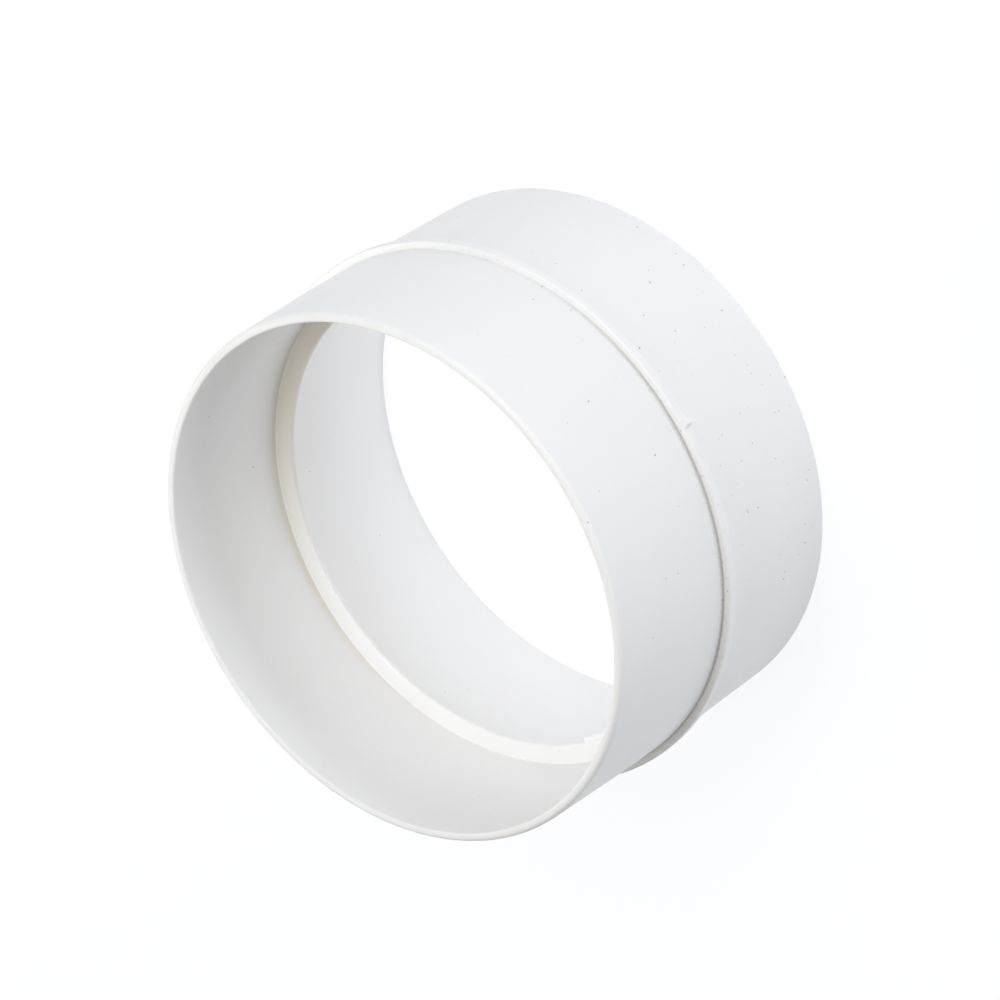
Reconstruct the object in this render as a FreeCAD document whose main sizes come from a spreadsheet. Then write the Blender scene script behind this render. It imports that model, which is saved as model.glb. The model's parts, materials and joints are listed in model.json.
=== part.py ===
import FreeCAD, Part
import math
import os

import Sketcher

# Round in-line duct connector, moulded in one piece. It stands on one end, with +Z along its axis and the
# origin at the middle of that end. A duct slips over either spigot as far as the outside rib, or into
# either socket as far as the inside ring. The rib and the ring lie on either side of one plane, the joint
# of the mould.

# Name of each driving size, its value in millimetres or degrees, and what it measures.
SIZES = [
    ("length", 60.0, "whole length, end to end"),
    ("spigot_radius", 50.0, "outside of the wall at the parallel seat beside the rib"),
    ("wall", 2.5, "wall thickness at the parallel seat"),
    ("seat_length", 11.0, "parallel stretch of wall on each side of the rib"),
    ("tip_relief", 0.35, "how far the outside draws in from the seat to each end"),
    ("tip_wall", 1.7, "wall thickness at each end"),
    ("rim_round", 0.35, "rounding of the edges of both ends"),
    ("rib_height", 1.4, "outside rib, out from the seat"),
    ("rib_thickness", 1.8, "outside rib, along the axis"),
    ("rib_round", 0.3, "rounding of the crest of the rib"),
    ("ring_height", 3.7, "inside ring, in from the socket wall"),
    ("ring_thickness", 1.2, "inside ring, along the axis"),
    ("ring_round", 0.2, "rounding of the inner edges of the ring"),
    ("gate_height", 0.75, "trimmed gate on the ring, towards the axis"),
    ("gate_width", 9.0, "trimmed gate, along the ring"),
    ("gate_thickness", 0.9, "trimmed gate, along the axis"),
    ("gate_angle", 172.6, "place of the gate round the axis, from +X towards +Y"),
    ("nub_height", 1.1, "nub left on the rib at the joint of the mould, out from the crest"),
    ("nub_root_width", 1.8, "nub along the rib, at its root"),
    ("nub_tip_width", 0.8, "nub along the rib, at its tip"),
    ("nub_thickness", 1.3, "nub, along the axis"),
    ("nub_angle", 264.6, "place of the nub round the axis, from +X towards +Y"),
]

# Places worked out from the driving sizes. Heights are measured from the end that the part stands on.
SOCKET_RADIUS = "(sizes.spigot_radius - sizes.wall)"
TIP_RADIUS = "(sizes.spigot_radius - sizes.tip_relief)"
MOUTH_RADIUS = f"({TIP_RADIUS} - sizes.tip_wall)"
MID_WALL_RADIUS = "(sizes.spigot_radius - sizes.wall / 2)"
CREST_RADIUS = "(sizes.spigot_radius + sizes.rib_height)"
RING_RADIUS = f"({SOCKET_RADIUS} - sizes.ring_height)"
RIB_BOTTOM = "((sizes.length - sizes.rib_thickness) / 2)"
MOULD_JOINT = "((sizes.length + sizes.rib_thickness) / 2)"
RING_TOP = f"({MOULD_JOINT} + sizes.ring_thickness)"
SEAT_BOTTOM = f"({RIB_BOTTOM} - sizes.seat_length)"
SEAT_TOP = f"({MOULD_JOINT} + sizes.seat_length)"
BASE = "0"
TOP = "sizes.length"

FULL_TURN = 360
EDGE_MATCH = 1e-4

# Numbers by which a sketch knows its own origin, its horizontal axis and the two ends of an edge.
START, END = 1, 2
HORIZONTAL_AXIS = -1
ORIGIN = (-1, START)


def add_sizes(doc):
    """The sheet of driving sizes: name, value and meaning in one row each."""
    sheet = doc.addObject("Spreadsheet::Sheet", "sizes")
    for row, (name, value, meaning) in enumerate(SIZES, start=1):
        sheet.set(f"A{row}", name)
        sheet.set(f"B{row}", str(value))
        sheet.setAlias(f"B{row}", name)
        sheet.set(f"C{row}", meaning)
    doc.recompute()


def new_sketch(body, name, role):
    """An empty sketch on one of the body's own origin planes."""
    plane = next(item for item in body.Origin.OriginFeatures if item.Role == role)
    sketch = body.newObject("Sketcher::SketchObject", name)
    sketch.AttachmentSupport = [(plane, "")]
    sketch.MapMode = "FlatFace"
    return sketch


def draw_loop(sketch, corners):
    """Straight edges from corner to corner, closed: edge number n starts at corner number n."""
    for start, end in zip(corners, corners[1:] + corners[:1]):
        sketch.addGeometry(Part.LineSegment(start, end), False)
    for edge in range(len(corners)):
        following = (edge + 1) % len(corners)
        sketch.addConstraint(Sketcher.Constraint("Coincident", edge, END, following, START))


def drive(sketch, kind, first, second, expression):
    """A dimension between two points of a sketch, each a pair of geometry and end, bound to an expression."""
    value = sketch.evalExpression(expression)
    number = sketch.addConstraint(Sketcher.Constraint(kind, *first, *second, value))
    sketch.setExpression(f"Constraints[{number}]", expression)


def draw_section(sketch, corners):
    """A closed half section, each corner given as its radius and its height."""
    values = [(sketch.evalExpression(radius), sketch.evalExpression(height)) for radius, height in corners]
    draw_loop(sketch, [FreeCAD.Vector(radius, height, 0) for radius, height in values])
    for edge, (radius, height) in enumerate(corners):
        corner = (edge, START)
        drive(sketch, "DistanceX", ORIGIN, corner, radius)
        if height == BASE:
            sketch.addConstraint(Sketcher.Constraint("PointOnObject", *corner, HORIZONTAL_AXIS))
        else:
            drive(sketch, "DistanceY", ORIGIN, corner, height)


def revolve(body, name, corners):
    """A half section turned all the way round the axis."""
    sketch = new_sketch(body, f"{name}_section", "XZ_Plane")
    draw_section(sketch, corners)
    feature = body.newObject("PartDesign::Revolution", name)
    feature.Profile = sketch
    feature.ReferenceAxis = (sketch, ["V_Axis"])
    feature.Angle = FULL_TURN
    body.Document.recompute()


def round_circles(body, name, radius, circles):
    """Round the circular edges that lie at the given radii and heights."""
    base = body.Tip
    wanted = [(base.evalExpression(reach), base.evalExpression(height)) for reach, height in circles]
    edges = []
    for number, edge in enumerate(base.Shape.Edges, start=1):
        if edge.Curve.TypeId != "Part::GeomCircle":
            continue
        reach, height = edge.Curve.Radius, edge.Curve.Center.z
        if any(math.dist((reach, height), place) < EDGE_MATCH for place in wanted):
            edges.append(f"Edge{number}")
    if len(edges) < len(wanted):
        raise RuntimeError(f"{name} found {len(edges)} of {len(wanted)} edges to round")
    feature = body.newObject("PartDesign::Fillet", name)
    feature.Base = (base, edges)
    feature.setExpression("Radius", radius)
    body.Document.recompute()


def add_mark(body, name, root, end, widths, height, thickness, angle):
    """A small block that the mould leaves, drawn from above, with its root and its end given as radii."""
    sketch = new_sketch(body, f"{name}_plan", "XY_Plane")
    sketch.AttachmentOffset = FreeCAD.Placement(
        FreeCAD.Vector(0, 0, sketch.evalExpression(height)),
        FreeCAD.Rotation(FreeCAD.Vector(0, 0, 1), sketch.evalExpression(angle)),
    )
    sketch.setExpression("AttachmentOffset.Base.z", height)
    sketch.setExpression("AttachmentOffset.Rotation.Angle", angle)
    near, far = sketch.evalExpression(root), sketch.evalExpression(end)
    root_half, end_half = (sketch.evalExpression(width) / 2 for width in widths)
    draw_loop(sketch, [
        FreeCAD.Vector(near, -root_half, 0),
        FreeCAD.Vector(near, root_half, 0),
        FreeCAD.Vector(far, end_half, 0),
        FreeCAD.Vector(far, -end_half, 0),
    ])
    root_edge, end_edge = 0, 2
    for edge in (root_edge, end_edge):
        sketch.addConstraint(Sketcher.Constraint("Symmetric", edge, START, edge, END, HORIZONTAL_AXIS))
    drive(sketch, "DistanceX", ORIGIN, (root_edge, START), root)
    drive(sketch, "DistanceX", ORIGIN, (end_edge, START), end)
    drive(sketch, "DistanceY", (root_edge, START), (root_edge, END), widths[0])
    drive(sketch, "DistanceY", (end_edge, END), (end_edge, START), widths[1])
    feature = body.newObject("PartDesign::Pad", name)
    feature.Profile = sketch
    feature.setExpression("Length", thickness)
    body.Document.recompute()


def add_connector(doc):
    """The connector: a wall with drafted ends, the stop rib and ring, the roundings and the mould marks."""
    body = doc.addObject("PartDesign::Body", "connector_body")
    body.Label = "connector_body"
    revolve(body, "wall", [
        (TIP_RADIUS, BASE),
        ("sizes.spigot_radius", SEAT_BOTTOM),
        ("sizes.spigot_radius", SEAT_TOP),
        (TIP_RADIUS, TOP),
        (MOUTH_RADIUS, TOP),
        (SOCKET_RADIUS, SEAT_TOP),
        (SOCKET_RADIUS, SEAT_BOTTOM),
        (MOUTH_RADIUS, BASE),
    ])
    revolve(body, "stop_rib", [
        (MID_WALL_RADIUS, RIB_BOTTOM),
        (CREST_RADIUS, RIB_BOTTOM),
        (CREST_RADIUS, MOULD_JOINT),
        (MID_WALL_RADIUS, MOULD_JOINT),
    ])
    revolve(body, "stop_ring", [
        (RING_RADIUS, MOULD_JOINT),
        (MID_WALL_RADIUS, MOULD_JOINT),
        (MID_WALL_RADIUS, RING_TOP),
        (RING_RADIUS, RING_TOP),
    ])
    round_circles(body, "rim_rounding", "sizes.rim_round", [
        (TIP_RADIUS, BASE),
        (MOUTH_RADIUS, BASE),
        (TIP_RADIUS, TOP),
        (MOUTH_RADIUS, TOP),
    ])
    round_circles(body, "rib_rounding", "sizes.rib_round", [
        (CREST_RADIUS, RIB_BOTTOM),
        (CREST_RADIUS, MOULD_JOINT),
    ])
    round_circles(body, "ring_rounding", "sizes.ring_round", [
        (RING_RADIUS, MOULD_JOINT),
        (RING_RADIUS, RING_TOP),
    ])
    add_mark(
        body, "gate_mark",
        root=f"({RING_RADIUS} + sizes.ring_height / 2)",
        end=f"({RING_RADIUS} - sizes.gate_height)",
        widths=("sizes.gate_width", "sizes.gate_width"),
        height=f"({MOULD_JOINT} + (sizes.ring_thickness - sizes.gate_thickness) / 2)",
        thickness="sizes.gate_thickness",
        angle="sizes.gate_angle",
    )
    add_mark(
        body, "joint_nub",
        root=f"({CREST_RADIUS} - sizes.rib_height / 2)",
        end=f"({CREST_RADIUS} + sizes.nub_height)",
        widths=("sizes.nub_root_width", "sizes.nub_tip_width"),
        height=RIB_BOTTOM,
        thickness="sizes.nub_thickness",
        angle="sizes.nub_angle",
    )
    return body


def check(doc, bodies):
    """Stop if any object failed, or if a body isn't one valid solid."""
    for item in doc.Objects:
        if "Invalid" in item.State or "Error" in item.State:
            raise RuntimeError(f"{item.Name} failed: {item.State}")
    for body in bodies:
        if body.Shape.isNull() or not body.Shape.isValid() or len(body.Shape.Solids) != 1:
            raise RuntimeError(f"{body.Label} is not one valid solid")


def main():
    doc = FreeCAD.newDocument("duct_connector")
    add_sizes(doc)
    bodies = [add_connector(doc)]
    doc.recompute()
    check(doc, bodies)
    os.makedirs("parts", exist_ok=True)
    for body in bodies:
        body.Shape.exportStep(f"parts/{body.Label}.step")
        box = body.Shape.optimalBoundingBox()
        sides = " x ".join(f"{side:.2f}" for side in (box.XLength, box.YLength, box.ZLength))
        print(f"{body.Label}: {body.Shape.Volume:.0f} mm3, {sides} mm")


main()
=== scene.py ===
import json
import math

import bmesh
import bpy
from bpy.props import FloatProperty, FloatVectorProperty, IntProperty, PointerProperty
from mathutils import Matrix, Vector


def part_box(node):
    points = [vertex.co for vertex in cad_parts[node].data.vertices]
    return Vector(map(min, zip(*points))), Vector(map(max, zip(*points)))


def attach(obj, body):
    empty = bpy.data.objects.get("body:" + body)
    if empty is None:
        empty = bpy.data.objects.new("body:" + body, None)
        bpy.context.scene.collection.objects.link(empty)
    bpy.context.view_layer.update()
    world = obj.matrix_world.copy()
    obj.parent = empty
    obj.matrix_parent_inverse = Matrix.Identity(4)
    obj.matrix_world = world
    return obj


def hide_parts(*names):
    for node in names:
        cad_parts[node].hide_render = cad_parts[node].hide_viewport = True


bl_info = {
    "name": "Duct Connector",
    "version": (1, 0, 0),
    "blender": (4, 5, 0),
    "location": "View3D > Sidebar > Duct Connector",
    "description": "A moulded connector for round ventilation duct, and the light table it stands on",
    "category": "Add Mesh",
}

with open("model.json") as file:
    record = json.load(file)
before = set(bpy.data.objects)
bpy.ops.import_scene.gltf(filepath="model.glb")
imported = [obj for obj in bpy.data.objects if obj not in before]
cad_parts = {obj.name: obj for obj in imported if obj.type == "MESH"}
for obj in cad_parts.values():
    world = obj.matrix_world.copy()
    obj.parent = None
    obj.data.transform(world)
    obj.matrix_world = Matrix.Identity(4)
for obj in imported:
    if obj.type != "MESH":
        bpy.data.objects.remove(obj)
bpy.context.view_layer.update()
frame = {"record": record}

MM = 0.001
ORIGIN = (0.0, 0.0, 0.0)
AXIS = (0.0, 0.0, 1.0)
NODE = "connector_body"
BODY = "root"
PIECE = "moulded_connector"

# Detail of the mesh
CORNER_SEGMENTS = 5
MARK_SEGMENTS = 2
LONG_EDGE = 5 * MM
LONG_EDGE_CUTS = 5
MERGE = 0.001 * MM
SHARP_ANGLE = math.radians(35)
FLOOR_SEGMENTS = 96

# Faces that a mould mark stands on: how far they may lean, and how far they may lie from the land's radius
LAND_LEAN = 0.5
LAND_MATCH = 0.1 * MM

# Sockets of a colour Mix node, by number because its float and vector sockets have the same names
MIX_SHARE = 0
MIX_UNDER = 6
MIX_OVER = 7
MIX_RESULT = 2

# Clouds in the plastic. A fade is where it starts and ends: in noise from 0 to 1, towards() or millimetres
CLOUD_FADE = (0.35, 0.7)

# Painted light on the rib, lighter and warmer than the walls: height above the wall, depth below the crest,
# and the share of its colour left on the crest
RIB_FADE = (0.2, 0.8)
CREST_FADE = (0.1, 0.35)
CREST_LIGHT_SHARE = 0.5

# Painted warm shade on one side of the ring, darker and yellower: millimetres from the wall over which it
# sets in, and its side
RING_SHADE_EDGE = 0.6
RING_SHADE_SIDE = (0.45, 1.0)

# Dirt and painted shade in the rib's root, darker on the side away from the light: its side, least share,
# how little it climbs the rib, and lumps that vary its reach
GRIME_AND_SHADE_SIDE = (0.35, 0.97)
GRIME_AND_SHADE_LEAST = 0.08
GRIME_AND_SHADE_STEEPNESS = 2.5
GRIME_AND_SHADE_LUMPS = 0.5 * MM
GRIME_AND_SHADE_LUMP_FADE = (0.3, 0.7)
GRIME_AND_SHADE_NARROWEST = 0.65

# Brown darkening on the wall beside the ring's root: its side, and how little of it lies on the ring
RING_ROOT_DARK_SIDE = (0.15, 0.9)
RING_ROOT_DARK_STEEPNESS = 12.0

# Specks of dust: their least size and sharp middle as shares, what makes them uneven, and how dark they are
DUST_SMALLEST = 0.45
DUST_SOFTNESS = 0.5
DUST_FLAW_SIZE = 0.4 * MM
DUST_FLAWS = 0.35
DUST_DEPTH = (0.14, 0.95)

# Where dust lies: in drifts, on one side and in the rib's root, and the millimetres of wall seen as outside
DUST_DRIFTS = 10.0 * MM
DUST_DRIFT_FADE = (0.36, 0.6)
DUST_SIDE = (0.78, 0.96)
DUST_LEAST = 0.3
DUST_ROOT_FADE = (1.8, 0.6)
DUST_WALL = 0.5

# Floor: shares of the bore's radius where its two glows meet, and millimetres over which it turns white
GLOW_MEETING = (0.95, 1.0)
FLOOR_WHITE_FADE = (250.0, 1000.0)

# Soft light panels, which face the connector from one distance: bearing from the camera's side towards +X,
# elevation, width, height, brightness, where 1 is white, and which of the stage's two light colours each has
PANEL_DISTANCE = 1.0
PANELS = {
    "key_panel": (60.0, 60.0, 0.65, 0.6, 2.97, "cool_light"),
    "top_panel": (0.0, 89.0, 0.65, 0.6, 2.47, "warm_light"),
    "back_panel": (165.0, 34.0, 0.65, 0.6, 2.64, "warm_light"),
    "front_panel": (27.0, 34.0, 0.65, 0.6, 1.87, "warm_light"),
    "front_strip": (0.0, 4.0, 1.2, 0.12, 3.98, "cool_light"),
    "side_strip": (330.0, 4.0, 0.6, 0.12, 5.3, "cool_light"),
}


def find_mount(name):
    """A mount of the frame's record."""
    return next(mount for mount in frame["record"]["mounts"] if mount["name"] == name)


def mount_radius(name):
    """Radius of a round mount, in metres."""
    return find_mount(name)["dims"]["r_mm"] * MM


def mount_span(name):
    """Heights at which a round mount's wall starts and ends, in metres."""
    mount = find_mount(name)
    half = mount["dims"]["length_mm"] * MM / 2
    return mount["pos_m"][2] - half, mount["pos_m"][2] + half


LOW_CORNER, HIGH_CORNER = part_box(NODE)
SEAT_BOTTOM, RIB_BOTTOM = mount_span("lower_spigot")
MOULD_JOINT, SEAT_TOP = mount_span("upper_spigot")
RING_TOP = mount_span("upper_socket")[0]


def length_property(name, description, default):
    """A property that holds a length in metres."""
    return FloatProperty(
        name=name, description=description, default=default,
        min=0.0, precision=5, subtype="DISTANCE", unit="LENGTH",
    )


def angle_property(name, description, degrees):
    """A property that holds an angle, its default given in degrees."""
    return FloatProperty(
        name=name, description=description, default=math.radians(degrees), subtype="ANGLE", unit="ROTATION",
    )


def share_property(name, description, default):
    """A property that holds a share from 0 to 1."""
    return FloatProperty(
        name=name, description=description, default=default, min=0.0, max=1.0, subtype="FACTOR",
    )


def colour_property(name, description, default):
    """A property that holds a linear colour."""
    return FloatVectorProperty(
        name=name, description=description, default=default, min=0.0, max=1.0, size=3, subtype="COLOR",
    )


class ConnectorSizes(bpy.types.PropertyGroup):
    """Sizes of the connector, the main ones read from the frame"""

    length: length_property("Length", "Whole length, end to end", HIGH_CORNER.z - LOW_CORNER.z)
    spigot_radius: length_property(
        "Spigot radius", "Outside of the wall beside the rib", mount_radius("upper_spigot"))
    socket_radius: length_property(
        "Socket radius", "Inside of the wall beside the ring", mount_radius("upper_socket"))
    crest_radius: length_property("Crest radius", "Outside of the stop rib", HIGH_CORNER.x)
    tip_relief: length_property(
        "Tip relief", "How far the outside draws in from the seat to each end", 0.35 * MM)
    tip_wall: length_property("Tip wall", "Wall thickness at each end", 1.7 * MM)
    rim_round: length_property("Rim rounding", "Rounding of the outer edges of both ends", 0.85 * MM)
    mouth_round: length_property("Mouth rounding", "Rounding of the inner edges of both ends", 0.35 * MM)
    rib_round: length_property("Rib rounding", "Rounding of the crest of the rib", 0.3 * MM)
    ring_height: length_property("Ring height", "Inside ring, in from the socket wall", 3.7 * MM)
    ring_round: length_property("Ring rounding", "Rounding of the inner edges of the ring", 0.5 * MM)
    gate_height: length_property("Gate height", "Trimmed gate on the ring, towards the axis", 0.75 * MM)
    gate_width: length_property("Gate width", "Trimmed gate, along the ring", 9.0 * MM)
    gate_angle: angle_property("Gate angle", "Place of the gate round the axis", 172.6)
    nub_height: length_property("Nub height", "Nub on the rib, out from the crest", 1.1 * MM)
    nub_width: length_property("Nub width", "Nub along the rib, at its root", 1.8 * MM)
    nub_taper: share_property("Nub taper", "Width of the nub's tip as a share of its root", 0.45)
    nub_angle: angle_property("Nub angle", "Place of the nub round the axis", 264.6)
    mark_round: length_property("Mark rounding", "Rounding of the nub and the gate", 0.1 * MM)
    steps: IntProperty(name="Steps", description="Faces round the axis", default=360, min=24)


class PlasticFinish(bpy.types.PropertyGroup):
    """Colours, dirt, painted light and shade, and surface of the white plastic"""

    colour: colour_property("Plastic", "Colour of the clean plastic", (0.93, 0.925, 0.914))
    cloud_colour: colour_property(
        "Clouds", "Colour of the faint clouds in the plastic", (0.922, 0.916, 0.903))
    cloud_size: length_property("Cloud size", "Size of the faint clouds", 16.0 * MM)
    # Painted light: the rib is made lighter and warmer to stand in for light bounced onto it.
    rib_light_colour: colour_property(
        "Rib", "Colour of the rib, which handling has rubbed", (0.955, 0.947, 0.932))
    # Painted warm shade: the ring's face is darker and yellower on the side where less light reaches it.
    ring_shade_colour: colour_property(
        "Ring stain", "Colour of the ring where it has yellowed", (0.84, 0.80, 0.72))
    ring_shade_angle: angle_property(
        "Stain angle", "Middle of the yellowed part of the ring, round the axis", 20.0)
    # The rib's root holds dirt and painted shade: a darkening in the corner, strongest on the side away from
    # the light.
    grime_and_shade_colour: colour_property(
        "Grime", "Colour of the dirt in the root of the rib", (0.61, 0.595, 0.56))
    grime_and_shade_width: length_property(
        "Grime width", "How far the dirt reaches out of the rib's root", 1.3 * MM)
    grime_and_shade_angle: angle_property(
        "Grime angle", "Middle of the dirty part of the rib's root, round the axis", 240.0)
    # Brown darkening on the wall beside the ring's root, on one side.
    ring_root_dark_colour: colour_property(
        "Ring grime", "Colour of the dirt in the root of the ring", (0.845, 0.81, 0.735))
    ring_root_dark_width: length_property(
        "Ring grime width", "How far the dirt reaches out of the ring's root", 2.4 * MM)
    ring_root_dark_angle: angle_property(
        "Ring grime angle", "Middle of the dirty part of the ring's root, round the axis", 48.0)
    dust_colour: colour_property("Dust", "Colour of the specks of dust", (0.26, 0.235, 0.20))
    dust_room: length_property("Dust room", "Room that each speck of dust has", 1.05 * MM)
    dust_size: length_property("Dust size", "Radius of the largest specks", 0.2 * MM)
    dust_angle: angle_property("Dust angle", "Middle of the dusty part, round the axis", 260.0)
    dust_outside: share_property(
        "Dust outside", "Share of the specks that show outside, beside the lower end", 1.0)
    dust_elsewhere: share_property(
        "Dust elsewhere", "Share of the specks that show on the other walls", 0.2)
    roughness: share_property("Roughness", "Roughness of the moulded surface", 0.38)
    dull_roughness: share_property(
        "Dull roughness", "Roughness where handling has dulled the surface", 0.44)
    index: FloatProperty(name="Index", description="Index of refraction", default=1.49, min=1.0)
    wave_height: length_property("Wave height", "Height of the waves left by shrinking", 0.02 * MM)
    wave_size: length_property("Wave size", "Length of the waves left by shrinking", 9.0 * MM)


class StudioStage(bpy.types.PropertyGroup):
    """Floor, light and camera"""

    floor_colour: colour_property("Floor", "Colour of the floor", (0.5, 0.5, 0.5))
    floor_radius: length_property("Floor radius", "Radius of the floor", 4.0)
    floor_white: share_property(
        "Floor white", "Share of plain white in the floor that is seen near the connector", 0.65)
    floor_level: FloatProperty(
        name="Floor level", description="Strength of that white", default=1.065, min=0.0)
    floor_glow: share_property(
        "Floor glow", "Light that comes up through the floor round the connector", 0.54)
    bore_glow: share_property(
        "Bore glow", "Light that comes up through the floor inside the connector", 0.68)
    bore_lean: share_property("Bore lean", "How much stronger that light is on one side", 0.3)
    lean_angle: angle_property(
        "Lean angle", "Side on which that light is strongest, round the axis", 10.0)
    cool_light: colour_property(
        "Cool light", "Colour of the floor's glow and of half the panels", (0.905, 0.93, 1.0))
    warm_light: colour_property("Warm light", "Colour of the other panels", (1.0, 0.99, 0.945))
    lens: FloatProperty(name="Lens", description="Focal length", default=230.37, min=1.0, unit="CAMERA")
    camera_distance: length_property(
        "Camera distance", "From the camera to the point it looks at", 1.12373)
    camera_elevation: angle_property("Camera elevation", "How far the camera looks down", 43.98)
    camera_roll: angle_property(
        "Camera roll", "Turn of the camera about its line of sight", -122.957)
    aim: FloatVectorProperty(
        name="Aim", description="Point that the camera looks at",
        default=(1.305 * MM, 0.0, 26.994 * MM), size=3, subtype="TRANSLATION", unit="LENGTH",
    )


def add_node(tree, kind, inputs, **settings):
    """A node with its settings made and its inputs set, or linked where a socket is given."""
    node = tree.nodes.new(kind)
    for name, value in settings.items():
        setattr(node, name, value)
    for name, value in inputs.items():
        if isinstance(value, bpy.types.NodeSocket):
            tree.links.new(value, node.inputs[name])
        else:
            node.inputs[name].default_value = value
    return node


def calculate(tree, operation, first, second):
    """Result of a Math node on two numbers."""
    return add_node(tree, "ShaderNodeMath", {0: first, 1: second}, operation=operation).outputs[0]


def product(tree, *factors):
    """All of the numbers multiplied."""
    result = factors[0]
    for factor in factors[1:]:
        result = calculate(tree, "MULTIPLY", result, factor)
    return result


def fade(tree, value, start, end, low=0.0, high=1.0):
    """Goes smoothly from low to high while the value goes from start to end."""
    return add_node(tree, "ShaderNodeMapRange", {
        "Value": value, "From Min": start, "From Max": end, "To Min": low, "To Max": high,
    }, interpolation_type="SMOOTHSTEP").outputs["Result"]


def noise(tree, place, size, detail):
    """A Noise Texture node with lumps of a size."""
    return add_node(tree, "ShaderNodeTexNoise", {
        "Vector": place, "Scale": MM / size, "Detail": detail,
    })


def lumps(tree, place, size, detail=1.0):
    """Cloudy noise from 0 to 1, with lumps of a size."""
    return noise(tree, place, size, detail).outputs["Fac"]


def paint(tree, share, under, over):
    """A colour over another one, by a share from 0 to 1."""
    node = add_node(tree, "ShaderNodeMix", {
        MIX_SHARE: share, MIX_UNDER: under, MIX_OVER: (*over, 1.0),
    }, data_type="RGBA")
    return node.outputs[MIX_RESULT]


def seen_rays(tree):
    """1 for rays that show the background, straight or by reflection, and 0 for those that bring light."""
    path = add_node(tree, "ShaderNodeLightPath", {})
    shown = calculate(tree, "ADD", path.outputs["Is Camera Ray"], path.outputs["Is Glossy Ray"])
    shown = calculate(tree, "ADD", shown, path.outputs["Is Transmission Ray"])
    return calculate(tree, "MINIMUM", shown, 1.0)


def new_material(name):
    """A material with an empty node tree."""
    material = bpy.data.materials.new(name)
    material.use_nodes = True
    material.node_tree.nodes.clear()
    return material, material.node_tree


class SurfacePlace:
    """Sockets that say where on the connector a point lies, in millimetres."""

    def __init__(self, tree):
        self.tree = tree
        place = add_node(tree, "ShaderNodeTexCoord", {}).outputs["Object"]
        self.point = self.vector("SCALE", place, Scale=1 / MM)
        self.across = self.vector("MULTIPLY", self.point, (1.0, 1.0, 0.0))
        self.radius = self.number("LENGTH", self.across)
        self.height = add_node(tree, "ShaderNodeSeparateXYZ", {0: self.point}).outputs["Z"]
        section = add_node(tree, "ShaderNodeCombineXYZ", {"X": self.radius, "Z": self.height})
        self.section = section.outputs["Vector"]

    def node(self, operation, first, second, inputs):
        """A Vector Math node."""
        sockets = {0: first, 1: second, **inputs}
        return add_node(self.tree, "ShaderNodeVectorMath", sockets, operation=operation)

    def vector(self, operation, first, second=ORIGIN, **inputs):
        """Result of a Vector Math node that gives a vector."""
        return self.node(operation, first, second, inputs).outputs["Vector"]

    def number(self, operation, first, second=ORIGIN):
        """Result of a Vector Math node that gives a number."""
        return self.node(operation, first, second, {}).outputs["Value"]

    def from_corner(self, radius, height, steepness=1.0):
        """Distance from a corner that runs round the axis, with the part along the radius made longer."""
        offset = self.vector("SUBTRACT", self.section, (radius / MM, 0.0, height / MM))
        return self.number("LENGTH", self.vector("MULTIPLY", offset, (steepness, 1.0, 1.0)))

    def along(self, angle, across=None):
        """How far a point lies from the axis towards an angle round it."""
        side = (math.cos(angle), math.sin(angle), 0.0)
        return self.number("DOT_PRODUCT", across or self.across, side)

    def towards(self, angle):
        """1 on the side of the connector at that angle round the axis, and -1 on the other side."""
        return self.along(angle, self.vector("NORMALIZE", self.across))


def rib_painted_light(place, sizes):
    """Share of painted light, lighter and warmer, on the faces of the rib, and less of it on its crest."""
    tree = place.tree
    above_wall = calculate(tree, "SUBTRACT", place.radius, sizes.spigot_radius / MM)
    below_crest = calculate(tree, "SUBTRACT", sizes.crest_radius / MM, place.radius)
    on_faces = fade(tree, below_crest, *CREST_FADE, CREST_LIGHT_SHARE, 1.0)
    return product(tree, fade(tree, above_wall, *RIB_FADE), on_faces)


def ring_warm_shade(place, sizes, finish):
    """Share of painted warm shade, darker and yellower, on one side of the stop ring."""
    tree = place.tree
    wall = sizes.socket_radius / MM
    on_ring = fade(tree, place.radius, wall, wall - RING_SHADE_EDGE)
    side = fade(tree, place.towards(finish.ring_shade_angle), *RING_SHADE_SIDE)
    return product(tree, on_ring, side)


def rib_grime_and_shade(place, sizes, finish):
    """Share of dirt and painted shade in the roots of the rib, darker on one side, most of it on the wall,
    with an uneven edge.
    """
    tree = place.tree
    width = finish.grime_and_shade_width / MM
    roots = [
        place.from_corner(sizes.spigot_radius, height, GRIME_AND_SHADE_STEEPNESS)
        for height in (MOULD_JOINT, RIB_BOTTOM)
    ]
    # Painted shade: the share is greatest on the side turned away from the light.
    side = fade(tree, place.towards(finish.grime_and_shade_angle), *GRIME_AND_SHADE_SIDE, GRIME_AND_SHADE_LEAST, 1.0)
    uneven = lumps(tree, place.point, GRIME_AND_SHADE_LUMPS)
    reach = fade(tree, uneven, *GRIME_AND_SHADE_LUMP_FADE, GRIME_AND_SHADE_NARROWEST * width, width)
    gathered = fade(tree, calculate(tree, "MINIMUM", *roots), reach, 0.0)
    return product(tree, gathered, side)


def ring_root_darkening(place, sizes, finish):
    """Share of brown darkening on the wall above one side of the stop ring."""
    tree = place.tree
    root = place.from_corner(sizes.socket_radius, RING_TOP, RING_ROOT_DARK_STEEPNESS)
    gathered = fade(tree, root, finish.ring_root_dark_width / MM, 0.0)
    side = fade(tree, place.towards(finish.ring_root_dark_angle), *RING_ROOT_DARK_SIDE)
    return product(tree, gathered, side)


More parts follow.
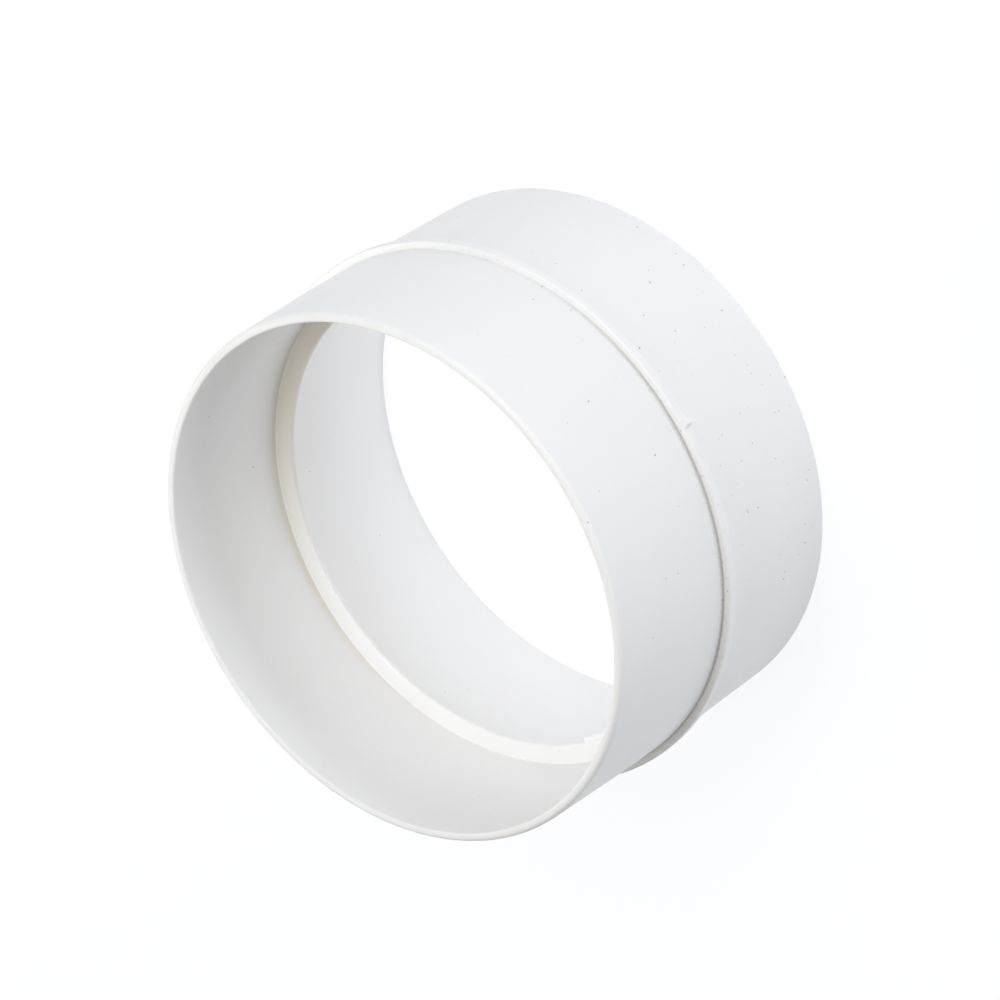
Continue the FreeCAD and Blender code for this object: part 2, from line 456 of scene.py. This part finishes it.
def dust_share(place, sizes, finish):
    """Share of the specks that show at a place: most outside, in drifts and in the root of the rib."""
    tree = place.tree
    outside = calculate(tree, "GREATER_THAN", place.radius, sizes.spigot_radius / MM - DUST_WALL)
    low = calculate(tree, "LESS_THAN", place.height, MOULD_JOINT / MM)
    most = fade(tree, product(tree, outside, low), 0.0, 1.0, finish.dust_elsewhere, finish.dust_outside)
    drift = fade(tree, lumps(tree, place.point, DUST_DRIFTS), *DUST_DRIFT_FADE)
    side = fade(tree, place.towards(finish.dust_angle), *DUST_SIDE, DUST_LEAST, 1.0)
    caught = fade(tree, place.from_corner(sizes.spigot_radius, MOULD_JOINT), *DUST_ROOT_FADE)
    return calculate(tree, "MAXIMUM", product(tree, most, drift, side), caught)


def dust_specks(place, sizes, finish):
    """Share of dust: slices of small uneven balls, each in a cell of its own, most of them faint."""
    tree = place.tree
    flaws = noise(tree, place.point, DUST_FLAW_SIZE, 0.0).outputs["Color"]
    bent = place.vector("ADD", place.point, place.vector("SCALE", flaws, Scale=DUST_FLAWS))
    cells = add_node(tree, "ShaderNodeTexVoronoi", {"Vector": bent, "Scale": MM / finish.dust_room})
    chance = add_node(tree, "ShaderNodeSeparateColor", {"Color": cells.outputs["Color"]})
    size = finish.dust_size / finish.dust_room
    reach = fade(tree, chance.outputs["Red"], 0.0, 1.0, DUST_SMALLEST * size, size)
    middle = calculate(tree, "MULTIPLY", reach, DUST_SOFTNESS)
    ball = fade(tree, cells.outputs["Distance"], reach, middle)
    kept = calculate(tree, "LESS_THAN", chance.outputs["Green"], dust_share(place, sizes, finish))
    dark = product(tree, chance.outputs["Blue"], chance.outputs["Blue"])
    depth = fade(tree, dark, 0.0, 1.0, *DUST_DEPTH)
    return product(tree, ball, kept, depth)


def plastic_material(sizes, finish):
    """White moulded plastic with dirt and painted shade in the rib's root, brown darkening beside the ring's
    root, dust, painted warm shade on the ring and painted light on the rib.
    """
    material, tree = new_material("white_moulded_plastic")
    place = SurfacePlace(tree)
    clouds = lumps(tree, place.point, finish.cloud_size)
    colour = paint(tree, fade(tree, clouds, *CLOUD_FADE), (*finish.colour, 1.0), finish.cloud_colour)
    layers = [
        # painted light on the rib's faces and crest
        (rib_painted_light(place, sizes), finish.rib_light_colour),
        # painted warm shade on one side of the ring
        (ring_warm_shade(place, sizes, finish), finish.ring_shade_colour),
        # brown darkening beside the ring's root
        (ring_root_darkening(place, sizes, finish), finish.ring_root_dark_colour),
        # dirt and painted shade in the rib's root
        (rib_grime_and_shade(place, sizes, finish), finish.grime_and_shade_colour),
        (dust_specks(place, sizes, finish), finish.dust_colour),
    ]
    for share, layer_colour in layers:
        colour = paint(tree, share, colour, layer_colour)
    roughness = fade(tree, clouds, *CLOUD_FADE, finish.roughness, finish.dull_roughness)
    waves = lumps(tree, place.point, finish.wave_size, detail=0.0)
    bump = add_node(tree, "ShaderNodeBump", {
        "Strength": 1.0, "Distance": finish.wave_height, "Height": waves,
    })
    shader = add_node(tree, "ShaderNodeBsdfPrincipled", {
        "Base Color": colour,
        "Roughness": roughness,
        "IOR": finish.index,
        "Normal": bump.outputs["Normal"],
    })
    add_node(tree, "ShaderNodeOutputMaterial", {"Surface": shader.outputs["BSDF"]})
    return material


def floor_material(sizes, stage):
    """Pale floor that glows a little, and is seen as near white with the connector's shadow on it."""
    material, tree = new_material("pale_floor")
    pale = add_node(tree, "ShaderNodeBsdfDiffuse", {"Color": (*stage.floor_colour, 1.0)})
    place = SurfacePlace(tree)
    bore = sizes.socket_radius / MM
    lean = [stage.bore_glow * (1 - stage.bore_lean), stage.bore_glow * (1 + stage.bore_lean)]
    inside = fade(tree, place.along(stage.lean_angle), -bore, bore, *lean)
    meeting = [share * bore for share in GLOW_MEETING]
    strength = fade(tree, place.radius, *meeting, inside, stage.floor_glow)
    glow = add_node(tree, "ShaderNodeEmission", {"Color": (*stage.cool_light, 1.0), "Strength": strength})
    lit = add_node(tree, "ShaderNodeAddShader", {0: pale.outputs["BSDF"], 1: glow.outputs["Emission"]})
    white = add_node(tree, "ShaderNodeEmission", {"Strength": stage.floor_level})
    share = fade(tree, place.radius, *FLOOR_WHITE_FADE, stage.floor_white, 1.0)
    mixed = add_node(tree, "ShaderNodeMixShader", {
        0: product(tree, seen_rays(tree), share),
        1: lit.outputs["Shader"],
        2: white.outputs["Emission"],
    })
    add_node(tree, "ShaderNodeOutputMaterial", {"Surface": mixed.outputs["Shader"]})
    return material


def draw_section(mesh, sizes):
    """The closed half section in the XZ plane, with its outer edges rounded."""
    tip = sizes.spigot_radius - sizes.tip_relief
    mouth = tip - sizes.tip_wall
    ring = sizes.socket_radius - sizes.ring_height
    corners = {
        "foot_outer": (tip, 0.0),
        "lower_seat": (sizes.spigot_radius, SEAT_BOTTOM),
        "rib_root_low": (sizes.spigot_radius, RIB_BOTTOM),
        "rib_crest_low": (sizes.crest_radius, RIB_BOTTOM),
        "rib_crest_high": (sizes.crest_radius, MOULD_JOINT),
        "rib_root_high": (sizes.spigot_radius, MOULD_JOINT),
        "upper_seat": (sizes.spigot_radius, SEAT_TOP),
        "head_outer": (tip, sizes.length),
        "head_inner": (mouth, sizes.length),
        "upper_bore": (sizes.socket_radius, SEAT_TOP),
        "ring_root_high": (sizes.socket_radius, RING_TOP),
        "ring_edge_high": (ring, RING_TOP),
        "ring_edge_low": (ring, MOULD_JOINT),
        "ring_root_low": (sizes.socket_radius, MOULD_JOINT),
        "lower_bore": (sizes.socket_radius, SEAT_BOTTOM),
        "foot_inner": (mouth, 0.0),
    }
    points = {name: mesh.verts.new((radius, 0.0, height)) for name, (radius, height) in corners.items()}
    mesh.faces.new(points.values())
    roundings = [
        (sizes.rim_round, ("foot_outer", "head_outer")),
        (sizes.mouth_round, ("foot_inner", "head_inner")),
        (sizes.rib_round, ("rib_crest_low", "rib_crest_high")),
        (sizes.ring_round, ("ring_edge_high", "ring_edge_low")),
    ]
    for radius, names in roundings:
        bmesh.ops.bevel(
            mesh, geom=[points[name] for name in names], offset=radius, offset_type="OFFSET",
            affect="VERTICES", segments=CORNER_SEGMENTS, profile=0.5, material=-1, clamp_overlap=True,
        )
    bmesh.ops.delete(mesh, geom=mesh.faces[:], context="FACES_ONLY")
    long_edges = [edge for edge in mesh.edges if edge.calc_length() > LONG_EDGE]
    bmesh.ops.subdivide_edges(mesh, edges=long_edges, cuts=LONG_EDGE_CUTS)


def spin_section(mesh, sizes):
    """Turn the half section into the whole tube, with edges at the middle of the nub."""
    step = math.tau / sizes.steps
    start = Matrix.Rotation(sizes.nub_angle % step, 3, "Z")
    bmesh.ops.rotate(mesh, cent=ORIGIN, matrix=start, verts=mesh.verts)
    bmesh.ops.spin(
        mesh, geom=mesh.verts[:] + mesh.edges[:], cent=ORIGIN, axis=AXIS,
        angle=math.tau, steps=sizes.steps, use_merge=True,
    )
    bmesh.ops.remove_doubles(mesh, verts=mesh.verts, dist=MERGE)
    bmesh.ops.recalc_face_normals(mesh, faces=mesh.faces)


def land_faces(mesh, radius, angle, width):
    """Faces of a round land and the start of its roundings, over a width that is centred at an angle."""
    found = []
    for face in mesh.faces:
        centre = face.calc_center_median()
        off_land = abs(math.hypot(centre.x, centre.y) - radius) > LAND_MATCH
        if off_land or abs(face.normal.z) > LAND_LEAN:
            continue
        away = math.remainder(math.atan2(centre.y, centre.x) - angle, math.tau)
        if abs(away) * radius < width / 2:
            found.append(face)
    if not found:
        raise RuntimeError("the mould mark found no land to stand on")
    return found


def raise_mark(mesh, faces, angle, height, taper, rounding):
    """Draw faces out along the radius at an angle, narrow them and round the edges."""
    grown = bmesh.ops.extrude_face_region(mesh, geom=faces)["geom"]
    verts = [item for item in grown if isinstance(item, bmesh.types.BMVert)]
    caps = [item for item in grown if isinstance(item, bmesh.types.BMFace)]
    bmesh.ops.delete(mesh, geom=faces, context="FACES")
    turned = Matrix.Rotation(-angle, 4, "Z")
    bmesh.ops.scale(mesh, vec=(1.0, taper, 1.0), space=turned, verts=verts)
    outwards = Matrix.Rotation(angle, 4, "Z") @ Vector((height, 0.0, 0.0))
    bmesh.ops.translate(mesh, vec=outwards, verts=verts)
    rim = {
        edge for face in caps for edge in face.edges
        if any(other not in caps for other in edge.link_faces)
    }
    bmesh.ops.bevel(
        mesh, geom=list(rim), offset=rounding, offset_type="OFFSET", affect="EDGES",
        segments=MARK_SEGMENTS, profile=0.5, material=-1, clamp_overlap=True,
    )


def raise_marks(mesh, sizes):
    """The trimmed gate on the ring and the nub on the rib."""
    ring_radius = sizes.socket_radius - sizes.ring_height
    gate = land_faces(mesh, ring_radius, sizes.gate_angle, sizes.gate_width)
    raise_mark(mesh, gate, sizes.gate_angle, -sizes.gate_height, 1.0, sizes.mark_round)
    nub = land_faces(mesh, sizes.crest_radius, sizes.nub_angle, sizes.nub_width)
    raise_mark(mesh, nub, sizes.nub_angle, sizes.nub_height, sizes.nub_taper, sizes.mark_round)


class ADD_OT_moulded_connector(bpy.types.Operator):
    """Model the connector as one moulding"""

    bl_idname = "duct_connector.add_moulding"
    bl_label = "Add Moulded Connector"

    def execute(self, context):
        sizes = context.scene.connector_sizes
        mesh = bmesh.new()
        draw_section(mesh, sizes)
        spin_section(mesh, sizes)
        raise_marks(mesh, sizes)
        for face in mesh.faces:
            face.smooth = True
        for edge in mesh.edges:
            edge.smooth = edge.calc_face_angle(0.0) < SHARP_ANGLE
        data = bpy.data.meshes.new(PIECE)
        mesh.to_mesh(data)
        mesh.free()
        piece = bpy.data.objects.new(PIECE, data)
        context.scene.collection.objects.link(piece)
        piece.modifiers.new("flat_walls", "WEIGHTED_NORMAL").keep_sharp = True
        data.materials.append(plastic_material(sizes, context.scene.plastic_finish))
        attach(piece, BODY)
        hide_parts(NODE)
        return {"FINISHED"}


def add_floor(context, stage):
    """A round floor under the connector."""
    mesh = bmesh.new()
    bmesh.ops.create_circle(mesh, cap_ends=True, radius=stage.floor_radius, segments=FLOOR_SEGMENTS)
    data = bpy.data.meshes.new("floor")
    mesh.to_mesh(data)
    mesh.free()
    floor = bpy.data.objects.new("floor", data)
    context.scene.collection.objects.link(floor)
    data.materials.append(floor_material(context.scene.connector_sizes, stage))


def add_panel(context, stage, name, bearing, elevation, width, height, brightness, colour):
    """A soft light panel that faces the connector."""
    lamp = bpy.data.lights.new(name, "AREA")
    lamp.shape = "RECTANGLE"
    lamp.size = width
    lamp.size_y = height
    lamp.color = getattr(stage, colour)
    lamp.energy = brightness * math.pi * width * height
    panel = bpy.data.objects.new(name, lamp)
    level = math.cos(math.radians(elevation))
    direction = Vector((
        math.sin(math.radians(bearing)) * level,
        -math.cos(math.radians(bearing)) * level,
        math.sin(math.radians(elevation)),
    ))
    panel.location = direction * PANEL_DISTANCE + Vector((0.0, 0.0, HIGH_CORNER.z / 2))
    panel.rotation_euler = (-direction).to_track_quat("-Z", "Y").to_euler()
    context.scene.collection.objects.link(panel)


def add_world(context):
    """A room that is white where it is seen, and leaves the light to the panels and the floor."""
    world = bpy.data.worlds.new("white_room")
    world.use_nodes = True
    tree = world.node_tree
    tree.nodes.clear()
    background = add_node(tree, "ShaderNodeBackground", {
        "Color": (1.0, 1.0, 1.0, 1.0), "Strength": seen_rays(tree),
    })
    add_node(tree, "ShaderNodeOutputWorld", {"Surface": background.outputs["Background"]})
    context.scene.world = world


def add_camera(context, stage):
    """The camera, looking down at the connector with its roll."""
    lens = bpy.data.cameras.new("camera")
    lens.lens = stage.lens
    camera = bpy.data.objects.new("camera", lens)
    tilt = Matrix.Rotation(math.pi / 2 - stage.camera_elevation, 3, "X")
    turn = tilt @ Matrix.Rotation(stage.camera_roll, 3, "Z")
    camera.rotation_euler = turn.to_euler()
    camera.location = Vector(stage.aim) + tilt @ Vector((0.0, 0.0, stage.camera_distance))
    context.scene.collection.objects.link(camera)
    context.scene.camera = camera


class ADD_OT_studio_stage(bpy.types.Operator):
    """Set up the floor, the light and the camera"""

    bl_idname = "duct_connector.add_stage"
    bl_label = "Add Studio Stage"

    def execute(self, context):
        stage = context.scene.studio_stage
        add_floor(context, stage)
        for name, values in PANELS.items():
            add_panel(context, stage, name, *values)
        add_world(context)
        add_camera(context, stage)
        context.scene.view_settings.view_transform = "Standard"
        return {"FINISHED"}


class VIEW3D_PT_duct_connector(bpy.types.Panel):
    """Sizes, finish and stage of the connector"""

    bl_idname = "VIEW3D_PT_duct_connector"
    bl_label = "Duct Connector"
    bl_space_type = "VIEW_3D"
    bl_region_type = "UI"
    bl_category = "Duct Connector"

    def draw(self, context):
        layout = self.layout
        for operator in (ADD_OT_moulded_connector, ADD_OT_studio_stage):
            layout.operator(operator.bl_idname)
        for name in SETTINGS:
            group = getattr(context.scene, name)
            for prop in group.__annotations__:
                layout.prop(group, prop)


SETTINGS = {
    "connector_sizes": ConnectorSizes,
    "plastic_finish": PlasticFinish,
    "studio_stage": StudioStage,
}
CLASSES = (
    *SETTINGS.values(),
    ADD_OT_moulded_connector,
    ADD_OT_studio_stage,
    VIEW3D_PT_duct_connector,
)


def register():
    for cls in CLASSES:
        bpy.utils.register_class(cls)
    for name, group in SETTINGS.items():
        setattr(bpy.types.Scene, name, PointerProperty(type=group))


def unregister():
    for name in SETTINGS:
        delattr(bpy.types.Scene, name)
    for cls in reversed(CLASSES):
        bpy.utils.unregister_class(cls)


def main():
    """Build the connector and its stage."""
    register()
    bpy.ops.duct_connector.add_moulding()
    bpy.ops.duct_connector.add_stage()


if __name__ == "__main__":
    main()
